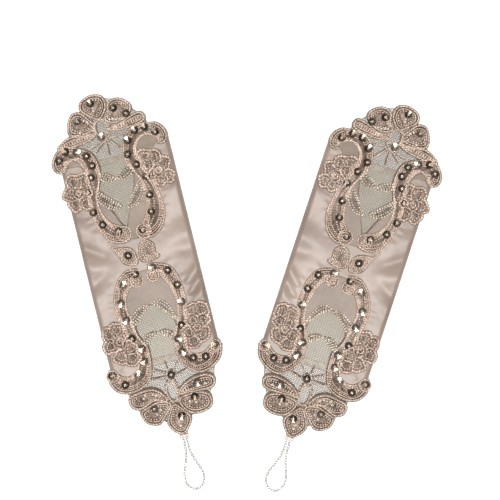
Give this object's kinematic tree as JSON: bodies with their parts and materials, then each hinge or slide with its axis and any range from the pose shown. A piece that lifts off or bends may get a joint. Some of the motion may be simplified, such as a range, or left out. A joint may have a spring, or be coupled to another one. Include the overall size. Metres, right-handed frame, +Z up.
{
  "type": "pair of fingerless bridal gloves",
  "caption": "Pair of fingerless blush satin gloves lying flat, with corded lace, cup sequins and a beaded finger loop at each hand end.",
  "frame": {"origin": "bottom centre of the box round the two gloves without their finger loops, on the surface they lie on", "axes": "+Z up from that surface, +Y towards the elbow ends, +X from the left glove to the right one"},
  "size_m": [0.2906, 0.2976, 0.0103],
  "materials": {
    "satin": "blush champagne satin, right side out",
    "satin_wrong_side": "matt wrong side of the satin, turned up as a hem",
    "seam_tape": "overlocked seam allowance",
    "net": "fine hexagonal bobbinet",
    "lace_cord": "twisted two-ply cord and satin stitch",
    "lace_rose": "satin-stitched rose petals edged with cord",
    "lace_stitch": "padded stitching edged with twisted cord",
    "lace_picot": "rows of tiny picot loops",
    "sequin": "iridescent bronze cup sequin",
    "seed_bead": "lustred seed bead",
    "pearl_bead": "pale pearl bead",
    "spray_thread": "coiled metallic thread over a core",
    "tack_thread": "close bar tack in silk thread",
    "elastic": "round covered elastic",
    "silver_bead": "silver-white seed beads"
  },
  "bodies": {
    "left_glove": {"left_satin_front": "satin", "left_satin_back": "satin", "left_side_seams": "seam_tape", "left_arm_hem": "satin_wrong_side", "left_hand_hem": "satin_wrong_side", "left_arm_net": "net", "left_hand_net": "net", "left_arm_scrolls": "lace_cord", "left_hand_scrolls": "lace_cord", "left_arm_roses": "lace_rose", "left_hand_roses": "lace_rose", "left_arm_petals": "lace_stitch", "left_hand_petals": "lace_stitch", "left_arm_leaves": "lace_picot", "left_hand_leaves": "lace_picot", "left_waist_motif": "lace_stitch", "left_arm_sequins": "sequin", "left_hand_sequins": "sequin", "left_arm_sequin_beads": "seed_bead", "left_hand_sequin_beads": "seed_bead", "left_petal_beads": "pearl_bead", "left_arm_spray": "spray_thread", "left_hand_spray": "spray_thread", "left_loop_anchor": "tack_thread"},
    "left_loop": {"left_loop_elastic": "elastic", "left_loop_beads": "silver_bead", "left_loop_knots": "elastic"},
    "right_glove": {"right_satin_front": "satin", "right_satin_back": "satin", "right_side_seams": "seam_tape", "right_arm_hem": "satin_wrong_side", "right_hand_hem": "satin_wrong_side", "right_arm_net": "net", "right_hand_net": "net", "right_arm_scrolls": "lace_cord", "right_hand_scrolls": "lace_cord", "right_arm_roses": "lace_rose", "right_hand_roses": "lace_rose", "right_arm_petals": "lace_stitch", "right_hand_petals": "lace_stitch", "right_arm_leaves": "lace_picot", "right_hand_leaves": "lace_picot", "right_waist_motif": "lace_stitch", "right_arm_sequins": "sequin", "right_hand_sequins": "sequin", "right_arm_sequin_beads": "seed_bead", "right_hand_sequin_beads": "seed_bead", "right_petal_beads": "pearl_bead", "right_arm_spray": "spray_thread", "right_hand_spray": "spray_thread", "right_loop_anchor": "tack_thread"},
    "right_loop": {"right_loop_elastic": "elastic", "right_loop_beads": "silver_bead", "right_loop_knots": "elastic"}
  },
  "joints": [
    {"name": "right_glove_moves_apart", "type": "slide", "parent": "left_glove", "child": "right_glove", "axis": [1, 0, 0], "range_m": [0, 0.1]},
    {"name": "left_loop_swings", "type": "hinge", "parent": "left_glove", "child": "left_loop", "pos_m": [-0.04661, -0.12638, 0.0011], "axis": [-0.9711, -0.2385, 0], "range_deg": [0, 120]},
    {"name": "right_loop_swings", "type": "hinge", "parent": "right_glove", "child": "right_loop", "pos_m": [0.03129, -0.12855, 0.0011], "axis": [-0.95, 0.3123, 0], "range_deg": [0, 120]}
  ]
}
